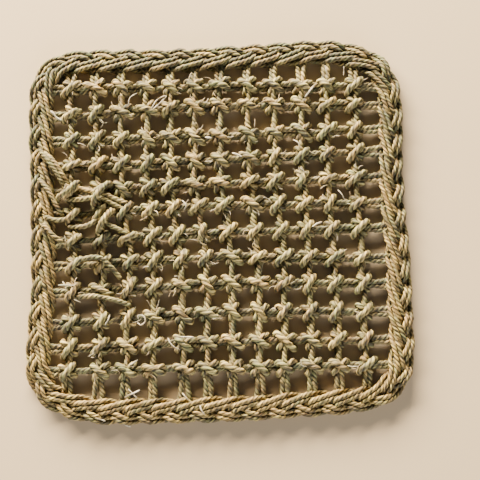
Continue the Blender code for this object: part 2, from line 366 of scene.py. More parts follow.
class CordMesh:
    """Collects twisted cords into one mesh."""

    def __init__(self, sizes: CordSizes, rng: np.random.Generator) -> None:
        """Starts an empty mesh and works out the cord's section.

        Args:
            sizes: the cord's section, pitch and ring gap.
            rng: where the tones of the straw come from.
        """
        self.sizes = sizes
        self.rng = rng
        self.look = StrawTones()
        self.points: List[np.ndarray] = []
        self.quads: List[np.ndarray] = []
        self.caps: List[np.ndarray] = []
        self.uvs: List[np.ndarray] = []
        self.cap_uvs: List[np.ndarray] = []
        self.straw: List[np.ndarray] = []
        self.count = 0
        half = math.pi / sizes.plies
        within = np.append(np.linspace(-sizes.ply_span, sizes.ply_span, sizes.points_per_ply), 1.0) * half
        reach = sizes.ply_shift * np.cos(within) + np.sqrt(
            sizes.ply_radius**2 - (sizes.ply_shift * np.sin(within)) ** 2
        )
        self.angles = np.concatenate([within + 2 * half * ply for ply in range(sizes.plies)])
        self.reach = np.tile(reach, sizes.plies)
        # Depth into the crease between plies, 0 on a ply's crown and 1 deepest: it only steers painted crease
        # shade.
        self.crease_shade_mask = (self.reach.max() - self.reach) / (self.reach.max() - self.reach.min())
        self.ply = np.cos(self.look.ply_turn * np.repeat(np.arange(sizes.plies), len(within)))

    def frames(self, path: np.ndarray, closed: bool) -> Tuple[np.ndarray, np.ndarray]:
        """Directions across a path that don't turn round it.

        Args:
            path: the cord's centre points.
            closed: whether the cord is a loop.

        Returns:
            The normals and binormals, one row for each point.
        """
        if closed:
            ahead = np.roll(path, -1, axis=0) - np.roll(path, 1, axis=0)
        else:
            ahead = np.gradient(path, axis=0)
        ahead /= np.linalg.norm(ahead, axis=1)[:, None]
        normals = np.empty_like(path)
        first = np.cross(ahead[0], ASIDE)
        normal = first / np.linalg.norm(first)
        for index, tangent in enumerate(ahead):
            normal = normal - tangent * float(normal @ tangent)
            normal = normal / math.sqrt(float(normal @ normal))
            normals[index] = normal
        binormals = np.cross(ahead, normals)
        if closed:
            last = normals[-1] - ahead[0] * float(normals[-1] @ ahead[0])
            gap = math.atan2(float(last @ binormals[0]), float(last @ normals[0]))
            turn = -gap * np.arange(len(path)) / len(path)
            cos, sin = np.cos(turn)[:, None], np.sin(turn)[:, None]
            normals, binormals = cos * normals + sin * binormals, cos * binormals - sin * normals
        return normals, binormals

    def fibres(self, rings: int) -> np.ndarray:
        """How far each point of this many rings stands out, as its fibres do, as factors near 1."""
        rough = self.rng.normal(0.0, 1.0, (rings + 2, len(self.angles)))
        return 1.0 + self.sizes.rough * (rough[:-2] + self.sizes.rough_own * rough[1:-1] + rough[2:])

    def add(
        self,
        anchors: Sequence[Sequence[float]],
        closed: bool = False,
        scale: float = 1.0,
        tone: Optional[float] = None,
        hue: Optional[float] = None,
        taper: float = 0.75,
        paling_rate: float = 0.0,
    ) -> None:
        """Adds one cord along a smooth path.

        Args:
            anchors: the points that it passes through.
            closed: whether it is a loop.
            scale: its thickness as a share of the usual one.
            tone: how light its straw is, from 0 to 1; drawn where it is None.
            hue: from 0, green, to 1, reddish; drawn where it is None.
            taper: the thickness of its two ends as a share of its own.
            paling_rate: how much paler and less green its straw gets for each metre down the mat.
        """
        sizes = self.sizes
        path = even_steps(smooth_path(anchors, closed), sizes.ring_gap, closed)
        normals, binormals = self.frames(path, closed)
        rings = len(path)
        following = np.roll(path, -1, axis=0) if closed else path[1:]
        steps = np.linalg.norm(following - path[: len(following)], axis=1)
        run = np.concatenate([[0.0], np.cumsum(steps)])
        turns = run[-1] / sizes.pitch
        pitch = run[-1] / (max(1, round(sizes.plies * turns)) / sizes.plies) if closed else sizes.pitch
        start = self.rng.uniform(0.0, 2 * math.pi)
        turn = start + LAY * 2 * math.pi * run[:rings] / pitch
        radius = np.full(rings, sizes.diameter / 2 * scale)
        radius *= 1.0 + sum(wave.along(run[:rings], start) for wave in sizes.swellings)
        if not closed:
            radius[0] *= taper
            radius[-1] *= taper
        angle = turn[:, None] + self.angles[None, :]
        spread = self.reach[None, :] * radius[:, None] * self.fibres(rings)
        points = (
            path[:, None, :]
            + (np.cos(angle) * spread)[:, :, None] * normals[:, None, :]
            + (np.sin(angle) * spread)[:, :, None] * binormals[:, None, :]
        )
        self.points.append(points.reshape(-1, 3))
        self.skin(rings, run, closed)
        self.colour(path[:, 1], run[:rings], start, tone, hue, paling_rate)
        self.count += rings * len(self.angles)

    def skin(self, rings: int, run: np.ndarray, closed: bool) -> None:
        """Adds the faces between a cord's rings, its two end faces and their place in the UV map.

        Args:
            rings: how many rings it has.
            run: the distance along it at each ring, and at the first again for a loop.
            closed: whether it is a loop.
        """
        corners = len(self.angles)
        ring = np.arange(rings if closed else rings - 1)
        after = (ring + 1) % rings
        corner = np.arange(corners)
        other = (corner + 1) % corners
        here = self.count + ring[:, None] * corners
        there = self.count + after[:, None] * corners
        quads = np.stack([here + corner, here + other, there + other, there + corner], axis=2)
        self.quads.append(quads.reshape(-1, 4))
        share = self.angles / (2 * math.pi)
        share_after = np.append(share[1:], share[0] + 1.0)
        along = run[ring] * CENTIMETRES
        along_after = run[ring + 1] * CENTIMETRES
        offset = self.rng.uniform(0.0, self.look.pattern_length)
        u = np.stack([along, along, along_after, along_after], axis=1)[:, None, :].repeat(corners, axis=1)
        v = np.stack([share, share_after, share_after, share], axis=1)[None, :, :].repeat(len(ring), axis=0)
        self.uvs.append(np.stack([u + offset, v], axis=3).reshape(-1, 2))
        if not closed:
            self.caps += [self.count + corner[::-1], self.count + (rings - 1) * corners + corner]
            ends = ([offset, 0.0], [offset + along_after[-1], 0.5])
            self.cap_uvs += [np.tile([end], (corners, 1)) for end in ends]

    def colour(
        self,
        up: np.ndarray,
        run: np.ndarray,
        start: float,
        tone: Optional[float],
        hue: Optional[float],
        paling_rate: float,
    ) -> None:
        """Adds the tone, hue and painted crease shade of a cord's points.

        Args:
            up: how far up the mat each ring lies.
            run: the distance along the cord at each ring.
            start: the turn at which its first ply starts.
            tone: how light its straw is, as in add.
            hue: its hue, as in add.
            paling_rate: its paling down the mat, as in add.
        """
        look = self.look
        tone = self.rng.uniform(*look.usual_tones) if tone is None else tone
        hue = self.rng.beta(look.hue_evenness, look.hue_evenness) if hue is None else hue
        # Paler and less green towards the mat's lower edge.
        paling = -paling_rate * up
        tones = (tone + sum(wave.along(run, start) for wave in look.tone_waves) + paling)[:, None]
        hues = (hue + look.hue_paling * paling + look.hue_wave.along(run, start))[:, None]
        tones = np.clip(tones + look.ply_tone * self.ply, 0.0, 1.0)
        hues = np.clip(hues - look.ply_hue * self.ply[::-1], 0.0, 1.0)
        crease_shade_masks = self.crease_shade_mask[None, :].repeat(len(run), axis=0)
        self.straw.append(np.stack([tones, hues, crease_shade_masks, np.ones_like(tones)], axis=2).reshape(-1, 4))

    def build(self, name: str) -> bpy.types.Object:
        """Makes the object.

        Args:
            name: the object's name.

        Returns:
            A mesh object with a UV map and the straw attribute, shaded smooth.
        """
        mesh = bpy.data.meshes.new(name)
        points = np.concatenate(self.points)
        quads = np.concatenate(self.quads)
        loops = np.concatenate([quads.reshape(-1)] + self.caps).astype(np.int32)
        totals = np.concatenate([np.full(len(quads), 4), [len(cap) for cap in self.caps]]).astype(np.int32)
        starts = np.concatenate([[0], np.cumsum(totals)[:-1]]).astype(np.int32)
        mesh.vertices.add(len(points))
        mesh.vertices.foreach_set("co", points.reshape(-1).astype(np.float32))
        mesh.loops.add(len(loops))
        mesh.loops.foreach_set("vertex_index", loops)
        mesh.polygons.add(len(totals))
        mesh.polygons.foreach_set("loop_start", starts)
        mesh.update(calc_edges=True)
        uv = mesh.uv_layers.new(name="UVMap")
        uv.uv.foreach_set("vector", np.concatenate(self.uvs + self.cap_uvs).reshape(-1).astype(np.float32))
        straw = mesh.attributes.new("straw", "FLOAT_COLOR", "POINT")
        straw.data.foreach_set("color", np.concatenate(self.straw).reshape(-1).astype(np.float32))
        mesh.shade_smooth()
        obj = bpy.data.objects.new(name, mesh)
        bpy.context.scene.collection.objects.link(obj)
        log.info("%s: %d points, %d faces", name, len(points), len(totals))
        return obj


class Value:
    """A shader socket that takes part in sums; each operation adds a Math node."""

    def __init__(self, shader: "Shader", socket: bpy.types.NodeSocket) -> None:
        """Wraps an output socket of this shader."""
        self.shader = shader
        self.socket = socket

    def operate(self, operation: str, *terms: object) -> "Value":
        """The result of a Math node with this operation on these numbers or values."""
        made = self.shader.node("ShaderNodeMath", dict(enumerate(terms)), operation=operation)
        return Value(self.shader, made.outputs[0])

    def __add__(self, other: object) -> "Value":
        """Sum."""
        return self.operate("ADD", self, other)

    def __sub__(self, other: object) -> "Value":
        """Difference."""
        return self.operate("SUBTRACT", self, other)

    def __rsub__(self, other: object) -> "Value":
        """Difference, with this value second."""
        return self.operate("SUBTRACT", other, self)

    def __mul__(self, other: object) -> "Value":
        """Product."""
        return self.operate("MULTIPLY", self, other)

    def __pow__(self, other: object) -> "Value":
        """Power."""
        return self.operate("POWER", self, other)

    def __abs__(self) -> "Value":
        """The value without its sign."""
        return self.operate("ABSOLUTE", self)

    __radd__ = __add__
    __rmul__ = __mul__

    def cosine(self) -> "Value":
        """Cosine, of radians."""
        return self.operate("COSINE", self)

    def sine(self) -> "Value":
        """Sine, of radians."""
        return self.operate("SINE", self)

    def above(self, low: float, high: float) -> "Value":
        """A share that rises from 0 where the value is low to 1 where it is high."""
        made = self.shader.node("ShaderNodeMapRange", {0: self, 1: low, 2: high}, clamp=True)
        return Value(self.shader, made.outputs[0])


class Shader:
    """A material's node tree, with one method that adds a node."""

    def __init__(self, name: str) -> None:
        """Starts a material with its Principled BSDF.

        Args:
            name: the material's name.
        """
        self.material = bpy.data.materials.new(name)
        self.material.use_nodes = True
        self.tree = self.material.node_tree
        self.surface = self.tree.nodes["Principled BSDF"]

    def node(
        self, kind: str, inputs: Optional[Dict[object, object]] = None, **settings: object
    ) -> bpy.types.Node:
        """Adds a node, with its settings and inputs.

        Args:
            kind: the node's type.
            inputs: input name or number to a Value, a socket or a plain value.
            settings: the node's own properties.

        Returns:
            The node.
        """
        made = self.tree.nodes.new(kind)
        for key, setting in settings.items():
            setattr(made, key, setting)
        for key, item in (inputs or {}).items():
            self.feed(made.inputs[key], item)
        return made

    def feed(self, target: bpy.types.NodeSocket, item: object) -> None:
        """Links or sets one input.

        Args:
            target: the input socket.
            item: a Value, a socket or a plain value.
        """
        if isinstance(item, Value):
            item = item.socket
        if isinstance(item, bpy.types.NodeSocket):
            self.tree.links.new(item, target)
        else:
            target.default_value = item

    def mix(self, share: object, first: object, second: object, blend: str = "MIX") -> bpy.types.NodeSocket:
        """The socket of a mix of two colours, with this share of the second."""
        made = self.node("ShaderNodeMix", {0: share, 6: first, 7: second}, data_type="RGBA", blend_type=blend)
        return made.outputs[2]

    def grey(self, value: Value) -> bpy.types.NodeSocket:
        """The socket of a grey of this brightness."""
        return self.node("ShaderNodeCombineColor", {0: value, 1: value, 2: value}).outputs[0]


@dataclass(frozen=True)
class Streaks:
    """Noise drawn out along a cord and closed round it: how fine it is round and along, and its detail."""

    around: float
    length: float
    detail: float
    roughness: float = 0.6
    span: Span = (0.32, 0.68)

    def noise(self, along: Value, angle: Value) -> Value:
        """Builds its nodes.

        Args:
            along: the distance along the cord, in centimetres.
            angle: the angle round the cord's section.

        Returns:
            The noise, from 0 to 1.
        """
        shader = along.shader
        axes = {0: angle.cosine() * self.around, 1: angle.sine() * self.around, 2: along * self.length}
        place = shader.node("ShaderNodeCombineXYZ", axes).outputs[0]
        settings = {"Vector": place, "Scale": 1.0, "Detail": self.detail, "Roughness": self.roughness}
        return Value(shader, shader.node("ShaderNodeTexNoise", settings).outputs[0])


@dataclass(frozen=True)
class StrawFinish:
    """Dry twisted straw: its linear colours, and the spans of tone, hue and noise where each one shows."""

    name: str
    dark: Colour = (0.032, 0.022, 0.010, 1.0)
    middle: Colour = (0.168, 0.133, 0.063, 1.0)
    pale: Colour = (0.545, 0.430, 0.148, 1.0)
    green: Colour = (0.125, 0.160, 0.072, 1.0)
    tan: Colour = (0.430, 0.280, 0.095, 1.0)
    red: Colour = (0.360, 0.120, 0.050, 1.0)
    fibres: Streaks = Streaks(3.0, 3.2, 3.0)
    blades: Streaks = Streaks(1.4, 1.4, 1.0)
    tone_light: float = 0.60
    fibres_light: float = 0.72
    blades_light: float = 0.42
    light_lost: float = 0.36
    middle_span: Span = (0.08, 0.48)
    pale_span: Span = (0.45, 0.95)
    green_hues: Span = (0.35, 0.90)
    green_blades: Span = (0.30, 0.62)
    green_most: float = 0.7
    tan_hues: Span = (0.50, 1.00)
    tan_light: Span = (0.10, 0.60)
    tan_most: float = 0.5
    red_hues: Span = (0.45, 0.90)
    red_fibres: Span = (0.62, 0.95)
    red_most: float = 0.6
    # Painted shade: darker in the creases between plies and in the grooves at the blades' edges.
    crease_shade_power: float = 1.3
    crease_shade_strength: float = 0.92
    blade_edge: float = 0.5
    edge_width: float = 0.08
    edge_shade_strength: float = 0.80
    roughness_low: float = 0.52
    roughness_high: float = 0.82
    specular: float = 0.25
    fibre_height: float = 0.4
    blade_height: float = 0.2
    edge_height: float = 0.4
    bump: float = 0.55
    bump_depth: float = 0.00025

    def material(self) -> bpy.types.Material:
        """Builds the material.

        Returns:
            The material, with streaks along the cord, blades of other tones, and painted shade in the creases
            between plies and at the blades' edges.
        """
        shader = Shader(self.name)
        uv = shader.node("ShaderNodeUVMap", uv_map="UVMap")
        parts = shader.node("ShaderNodeSeparateXYZ", {0: uv.outputs[0]})
        along = Value(shader, parts.outputs[0])
        angle = Value(shader, parts.outputs[1]) * (2 * math.pi)
        # The straw attribute carries tone, hue and the mask of painted crease shade.
        attribute = shader.node("ShaderNodeAttribute", attribute_name="straw")
        channels = shader.node("ShaderNodeSeparateColor", {0: attribute.outputs[0]})
        tone, hue, crease_shade_mask = (Value(shader, channels.outputs[index]) for index in range(3))

        fibres = self.fibres.noise(along, angle).above(*self.fibres.span)
        broad = self.blades.noise(along, angle)
        blades = broad.above(*self.blades.span)
        edges = abs(broad - self.blade_edge).above(0.0, self.edge_width)
        light = tone * self.tone_light + fibres * self.fibres_light
        light = light + blades * self.blades_light - self.light_lost
        greening = (1.0 - hue).above(*self.green_hues) * blades.above(*self.green_blades) * self.green_most
        tanning = hue.above(*self.tan_hues) * light.above(*self.tan_light) * self.tan_most
        reddening = hue.above(*self.red_hues) * fibres.above(*self.red_fibres) * self.red_most
        # Painted shade where the creases between plies and the grooves at the blades' edges lie.
        painted_crease_shade = 1.0 - crease_shade_mask ** self.crease_shade_power * self.crease_shade_strength
        painted_edge_shade = edges * self.edge_shade_strength + (1.0 - self.edge_shade_strength)
        colour = shader.mix(light.above(*self.middle_span), self.dark, self.middle)
        colour = shader.mix(light.above(*self.pale_span), colour, self.pale)
        colour = shader.mix(greening, colour, self.green)
        colour = shader.mix(tanning, colour, self.tan)
        colour = shader.mix(reddening, colour, self.red)
        colour = shader.mix(1.0, colour, shader.grey(painted_crease_shade * painted_edge_shade), "MULTIPLY")
        shader.feed(shader.surface.inputs["Base Color"], colour)
        rough = fibres * (self.roughness_high - self.roughness_low) + self.roughness_low
        shader.feed(shader.surface.inputs["Roughness"], rough)
        height = fibres * self.fibre_height + blades * self.blade_height + edges * self.edge_height
        relief = {"Strength": self.bump, "Distance": self.bump_depth, "Height": height}
        shader.feed(shader.surface.inputs["Normal"], shader.node("ShaderNodeBump", relief).outputs[0])
        shader.surface.inputs["Specular IOR Level"].default_value = self.specular
        return shader.material


@dataclass(frozen=True)
class PairSizes:
    """A pair of cords: its heights between knots and in them and its spread, in metres, and its tones."""

    top: float
    under: float
    in_knot: float
    half_apart: float
    tones: Span


@dataclass(frozen=True)
class NetSizes:
    """How the net's cords run, in metres."""

    # The lengthwise pairs lie on top and get lighter tones, the crosswise pairs lie lower and get darker
    # ones: painted light and shade.
    warp: PairSizes = PairSizes(0.0053, 0.0028, 0.0046, 0.0003, (0.50, 0.80))
    weft: PairSizes = PairSizes(0.0036, 0.0021, 0.0032, 0.0009, (0.35, 0.65))
    beside: float = 0.0007
    stray: float = 0.0005
    edge_apart: float = 0.0021
    tuck: float = 0.0034
    tuck_height: float = 0.0026
    edge_spread: Span = (0.45, 1.45)
    knot_step: float = 0.0004
    stray_up: float = 0.0002


@dataclass
class NetCords:
    """The pairs of cords that run along and across the mat."""

    layout: Layout
    sizes: NetSizes
    rng: np.random.Generator

    def pair(self, mesh: CordMesh, places: Sequence[np.ndarray], pair: PairSizes) -> None:
        """Adds a pair of cords that run through a line of knots, from border to border.

        Args:
            mesh: where they go.
            places: the knots' middles, in order.
            pair: how they run.
        """
        sizes = self.sizes
        ends = [
            self.layout.to_border(near, (near - far) / np.linalg.norm(near - far))
            for near, far in ((places[0], places[1]), (places[-1], places[-2]))
        ]
        apart = [self.rng.uniform(*sizes.edge_spread) * sizes.edge_apart for _ in ends]
        line = [ends[0], *places, ends[1]]
        last = len(line) - 1
        for side in (-1.0, 1.0):
            anchors: List[Point] = []
            level = pair.top if side > 0 else pair.under
            for index, here in enumerate(line):
                ahead = line[min(index + 1, last)] - line[max(index - 1, 0)]
                ahead = ahead / np.linalg.norm(ahead)
                left = np.array([-ahead[1], ahead[0]])
                if index in (0, last):
                    inward, spread = (1.0, apart[0]) if index == 0 else (-1.0, apart[1])
                    here = here + ahead * inward * sizes.tuck + left * side * spread
                    anchors.append((*here, sizes.tuck_height))
                    continue
                at_band = here + left * side * sizes.beside
                anchors.append((*at_band, pair.in_knot + sizes.knot_step * side))
                if index < last - 1:
                    stray = self.rng.normal(0.0, sizes.stray)
                    middle = (here + line[index + 1]) / 2 + left * (side * pair.half_apart + stray)
                    anchors.append((*middle, level + self.rng.normal(0.0, sizes.stray_up)))
            mesh.add(anchors, tone=self.rng.uniform(*pair.tones))

    def build(self, warp_cord: CordSizes, weft_cord: CordSizes) -> List[bpy.types.Object]:
        """Makes the lengthwise and the crosswise cords.

        Args:
            warp_cord: the lengthwise cords' sizes.
            weft_cord: the crosswise cords' sizes.

        Returns:
            Their two objects.
        """
        warps = CordMesh(warp_cord, self.rng)
        for warp in range(len(WARPS)):
            places = [self.layout.knot(weft, warp) for weft in range(len(WEFTS))]
            self.pair(warps, places, self.sizes.warp)
        wefts = CordMesh(weft_cord, self.rng)
        for weft in range(len(WEFTS)):
            places = [self.layout.knot(weft, warp) for warp in range(len(WARPS))]
            self.pair(wefts, places, self.sizes.weft)
        return [warps.build("net_lengthwise_cords"), wefts.build("net_crosswise_cords")]


@dataclass(frozen=True)
class KnotForm:
    """A kind of knot: the band on top and the one below it, in millimetres from the knot's middle."""

    over: Tuple[Point, ...]
    under: Tuple[Point, ...]


BACKSLASH_KNOT = KnotForm(
    over=(
        (-4.2, 1.8, 1.6), (-4.6, 2.7, 3.4), (-3.6, 2.6, 5.8), (-1.8, 1.3, 7.0), (0.0, 0.0, 7.3),
        (1.8, -1.3, 7.0), (3.6, -2.5, 5.8), (4.6, -2.9, 3.4), (4.3, -1.8, 1.6),
    ),
    under=(
        (4.4, 2.0, 1.6), (4.9, 3.1, 3.4), (4.0, 3.1, 5.4), (2.1, 1.8, 5.8), (0.2, 0.2, 4.6),
        (-1.2, -1.6, 5.2), (-2.2, -3.4, 5.0), (-2.6, -4.4, 3.4), (-1.8, -4.4, 1.6),
    ),
)

SLASH_KNOT = KnotForm(
    over=(
        (-2.6, -3.8, 1.6), (-3.3, -4.1, 3.4), (-3.0, -3.0, 5.8), (-1.6, -1.4, 7.0), (0.0, 0.0, 7.3),
        (1.6, 1.7, 7.0), (3.0, 3.1, 5.8), (3.5, 3.7, 3.4), (3.0, 2.9, 1.6),
    ),
    under=(
        (-3.0, 2.2, 1.6), (-3.6, 3.2, 3.4), (-2.8, 3.0, 5.4), (-1.4, 1.6, 5.8), (0.0, 0.0, 4.6),
        (1.3, -1.5, 5.2), (2.5, -2.5, 5.0), (3.1, -2.9, 3.4), (2.4, -2.8, 1.6),
    ),
)


@dataclass(frozen=True)
class KnotSizes:
    """How thick the bands are, as shares of their cord, and how much the knots differ."""

    over_scale: float = 1.00
    under_scale: float = 0.88
    swing: float = math.radians(9)
    size_spread: float = 0.08
    stray: float = 0.0002
    # The bands on top get lighter tones and those below them darker ones: painted light and shade.
    over_tones_with_painted_light: Span = (0.50, 0.85)
    under_tones_with_painted_shade: Span = (0.40, 0.75)


@dataclass
class Knots:
    """The tied crossings: one band over and one under, turned down at their ends."""

    layout: Layout
    sizes: KnotSizes
    cord: CordSizes
    rng: np.random.Generator

    def band(
        self, mesh: CordMesh, middle: np.ndarray, points: Sequence[Point], scale: float, tone: float
    ) -> None:
        """Adds one band of a knot.

        Args:
            mesh: where it goes.
            middle: the knot's middle.
            points: its points in millimetres: across the mat, up the mat and height.
            scale: its thickness as a share of the cord's.
            tone: how light its straw is.
        """
        sizes = self.sizes
        swing = self.rng.normal(0.0, sizes.swing)
        size = 1.0 + self.rng.normal(0.0, sizes.size_spread)
        across = np.array([math.cos(swing), math.sin(swing)]) * size
        along = np.array([-across[1], across[0]])
        anchors = []
        for east, north, up in np.array(points) / MILLIMETRES:
            place = middle + across * east + along * north
            place = place + self.rng.normal(0.0, sizes.stray, 2)
            anchors.append((*place, up + self.rng.normal(0.0, sizes.stray / 2)))
        mesh.add(anchors, scale=scale, tone=tone)

    def build(self) -> List[bpy.types.Object]:
        """Makes all the knots.

        Returns:
            Two objects, the bands on top and the ones below them.
        """
        sizes = self.sizes
        over = CordMesh(self.cord, self.rng)
        under = CordMesh(self.cord, self.rng)
        for weft, warp in self.layout.crossings():
            middle = self.layout.knot(weft, warp)
            form = SLASH_KNOT if self.layout.band_leans_right(weft, warp) else BACKSLASH_KNOT
            self.band(over, middle, form.over, sizes.over_scale, self.rng.uniform(*sizes.over_tones_with_painted_light))
            self.band(under, middle, form.under, sizes.under_scale, self.rng.uniform(*sizes.under_tones_with_painted_shade))
        return [over.build("net_knot_tops"), under.build("net_knot_loops")]


@dataclass(frozen=True)
class PlaitSizes:
    """How the plaited cords, each two thinner ones side by side, differ from the solid model's, in metres."""

    lift: float = 0.00035
    half_apart: float = 0.00130
    height_apart: float = 0.00020
    tone_apart: float = 0.10
    hue_apart: float = 0.14
    stray_out: float = 0.00018
    stray_up: float = 0.00012
    lowest: float = 0.46
    tones: Tuple[float, ...] = (0.45, 0.54, 0.41, 0.58)
    hues: Tuple[float, ...] = (0.50, 0.64, 0.46, 0.70)
    # The border's straw gets paler and less green towards the mat's lower edge.
    paling_rate: float = 1.4


@dataclass
class Plait:
    """The four closed cords of the border, each two thinner cords side by side."""

    layout: Layout
    sizes: PlaitSizes
    cord: CordSizes
    rng: np.random.Generator

    def build(self) -> List[bpy.types.Object]:
        """Makes the plaited cords.

        Returns:
            Their objects, in the order of the solid model's nodes.
        """
        made = []
        mat = self.layout.sizes
        sizes = self.sizes
        for number in range(mat.plait_cords):
            anchors = []
            for cycle in range(mat.plait_cycles):
                for row in PLAIT_CYCLE:
                    share = (cycle + row.share + number / mat.plait_cords) / mat.plait_cycles
                    place, out = self.layout.border(share)
                    place = place + out * (row.out + self.rng.normal(0.0, sizes.stray_out))
                    up = row.up + sizes.lift + self.rng.normal(0.0, sizes.stray_up)
                    anchors.append((*place, max(up, self.cord.diameter * sizes.lowest)))
            route = np.array(anchors)
            ahead = np.roll(route, -1, axis=0) - np.roll(route, 1, axis=0)
            aside = np.stack([-ahead[:, 1], ahead[:, 0], 0.0 * ahead[:, 2]], axis=1)
            aside *= sizes.half_apart / np.linalg.norm(aside, axis=1)[:, None]
            aside[:, 2] = sizes.height_apart
            mesh = CordMesh(self.cord, self.rng)
            for side in (-1.0, 1.0):
                tone = sizes.tones[number] + side * sizes.tone_apart
                hue = sizes.hues[number] + side * sizes.hue_apart
                mesh.add(route + side * aside, closed=True, tone=tone, hue=hue, paling_rate=sizes.paling_rate)
            made.append(mesh.build(f"plaited_cord_{number + 1}"))
        return made


@dataclass(frozen=True)
class Route:
    """A cord or straw laid along given points: its points in millimetres, and its share of the usual
    thickness.
    """

    points: Tuple[Point, ...]
    scale: float = 1.0

    def metres(self) -> np.ndarray:
        """Its points in metres."""
        return np.array(self.points) / MILLIMETRES


MENDING_ROUTES = (
    Route(((-101.0, 44.0, 6.0), (-95.6, 37.8, 8.2), (-89.9, 29.3, 7.6), (-85.2, 20.9, 5.2))),
    Route(((-98.5, 43.0, 5.0), (-92.2, 36.7, 7.8), (-87.1, 28.8, 7.0), (-83.6, 21.5, 4.2))),
    Route(((-101.0, 27.6, 5.6), (-95.2, 20.9, 8.0), (-90.6, 12.4, 7.2), (-86.8, 6.4, 4.6))),
    Route(((-98.0, 2.0, 6.0), (-92.5, -3.8, 7.8), (-86.9, -8.8, 6.0))),
    Route(((-90.5, 15.0, 3.0), (-89.6, 16.9, 6.8), (-85.2, 19.2, 10.4), (-79.2, 25.4, 6.6),
           (-78.0, 24.0, 3.0)), 1.15),
    Route(((-70.0, 10.0, 3.0), (-70.1, 12.4, 7.0), (-67.9, 17.5, 11.2), (-61.9, 24.8, 7.0),
           (-60.4, 23.6, 3.0)), 1.3),
    Route(((-66.8, -4.0, 3.0), (-66.5, -1.5, 7.0), (-64.3, 3.0, 11.2), (-59.5, 9.6, 7.0),
           (-58.0, 8.6, 3.0)), 1.3),
    Route(((-80.0, 22.8, 6.0), (-71.9, 20.5, 7.2), (-66.3, 20.3, 6.8), (-59.6, 16.8, 7.4),
           (-51.2, 13.5, 6.6))),
    Route(((-85.8, 15.8, 5.6), (-76.2, 15.8, 7.4), (-67.4, 17.1, 6.8), (-59.5, 13.5, 7.4),
           (-52.3, 10.2, 6.0))),
    Route(((-97.1, 6.2, 5.8), (-90.4, 4.2, 6.4), (-83.8, 5.1, 6.0))),
    Route(((-84.0, 0.6, 5.4), (-74.3, 0.6, 7.2), (-65.0, 5.1, 7.0), (-60.5, 1.2, 7.6), (-52.6, -2.7, 7.0),
           (-49.3, -7.2, 5.6))),
    Route(((-83.5, -22.2, 5.0), (-76.7, -18.3, 8.2), (-65.7, -17.2, 9.8), (-60.1, -21.6, 8.4),
           (-54.5, -28.3, 5.4))),
    Route(((-79.1, -38.7, 5.6), (-68.1, -38.2, 7.2), (-57.1, -40.4, 7.8), (-48.8, -43.1, 5.6))),
)

STRAW_ROUTES = (
    Route(((-39.0, 66.4, 7.0), (-34.5, 72.1, 10.0), (-29.5, 73.9, 10.6), (-33.4, 69.8, 10.0),
           (-37.3, 67.0, 7.6)), 1.2),
    Route(((-51.4, 69.3, 6.4), (-50.3, 73.3, 8.4), (-46.4, 76.2, 7.6)), 1.2),
    Route(((48.1, 73.9, 7.2), (50.8, 77.2, 9.0), (53.8, 80.8, 10.0)), 1.9),
    Route(((59.6, 92.4, 7.0), (60.2, 89.5, 7.4), (61.2, 86.6, 6.6)), 1.3),
    Route(((70.3, 91.8, 7.2), (70.2, 86.6, 6.4)), 1.2),
    Route(((41.2, 49.2, 8.8), (44.0, 47.5, 9.6), (45.1, 44.7, 8.8)), 1.3),
    Route(((45.1, 33.3, 9.0), (47.8, 31.0, 8.6)), 1.8),
    Route(((7.1, 41.8, 8.4), (9.8, 40.8, 9.4), (12.7, 39.5, 8.8)), 2.0),
    Route(((-8.0, 50.6, 9.0), (-4.1, 50.2, 8.6)), 2.0),
    Route(((-20.7, 15.2, 7.6), (-18.4, 12.4, 8.4), (-19.5, 9.6, 7.0)), 1.3),
    Route(((51.5, 0.1, 8.4), (54.3, 1.8, 9.4), (57.0, 2.9, 8.8)), 1.8),
    Route(((66.1, 20.9, 8.0), (68.0, 18.4, 9.0), (69.9, 15.2, 7.8)), 1.1),
    Route(((-44.3, -51.4, 7.0), (-44.0, -48.8, 9.2), (-41.2, -49.2, 10.0), (-40.2, -52.0, 9.8),
           (-42.5, -54.2, 9.0), (-44.7, -52.8, 7.8)), 1.5),
    Route(((-59.7, -48.6, 8.8), (-60.5, -51.2, 9.4), (-62.4, -54.1, 8.2)), 1.4),
    Route(((-27.8, -61.2, 9.0), (-25.6, -65.0, 9.4), (-21.2, -67.7, 7.4)), 1.4),
    Route(((-21.2, -60.6, 9.2), (-13.6, -60.7, 9.2)), 1.6),
    Route(((-49.5, -76.4, 7.0), (-44.1, -73.1, 8.8)), 1.8),
    Route(((-51.5, -93.4, 7.2), (-42.8, -89.4, 8.6)), 1.6),
    Route(((-49.3, -88.8, 7.6), (-44.4, -93.7, 8.0)), 1.4),
    Route(((-19.9, -91.0, 6.6), (-18.2, -93.0, 8.4), (-16.7, -94.7, 7.4)), 1.6),
    Route(((-10.1, -97.4, 7.8), (-9.4, -100.2, 8.6), (-7.4, -102.8, 7.0)), 1.6),
    Route(((-67.0, -104.4, 6.4), (-61.6, -106.2, 5.0)), 1.5),
    Route(((-54.5, -107.1, 4.6), (-48.0, -109.4, 3.4)), 1.5),
    Route(((-88.6, -32.1, 7.4), (-79.2, -32.4, 8.0)), 1.8),
    Route(((-86.2, -30.0, 7.0), (-83.8, -34.5, 7.8)), 1.4),
    Route(((-95.1, 66.4, 6.2), (-89.4, 61.2, 5.6), (-82.7, 64.1, 6.8)), 2.6),
)


@dataclass(frozen=True)
class TrimSizes:
    """The tones of mending cords and loose straws, and the fibres that stand out of knots, in metres."""

    mending_tones: Span = (0.60, 0.85)
    straw_tone: float = 1.0
    straw_hue: float = 0.5
    straw_taper: float = 0.4
    frayed_share: float = 0.55
    most_fibres: int = 4
    length: Span = (0.0022, 0.0060)
    reach: Span = (0.0024, 0.0050)
    height: Span = (0.0058, 0.0086)
    swing: float = 0.7
    bend: float = 0.2
    rise: Span = (-0.3, 0.4)
    middle_rise: float = 0.7
    scales: Span = (0.5, 1.0)
    tones: Span = (0.5, 1.0)
    hues: Span = (0.4, 1.0)
    taper: float = 0.3


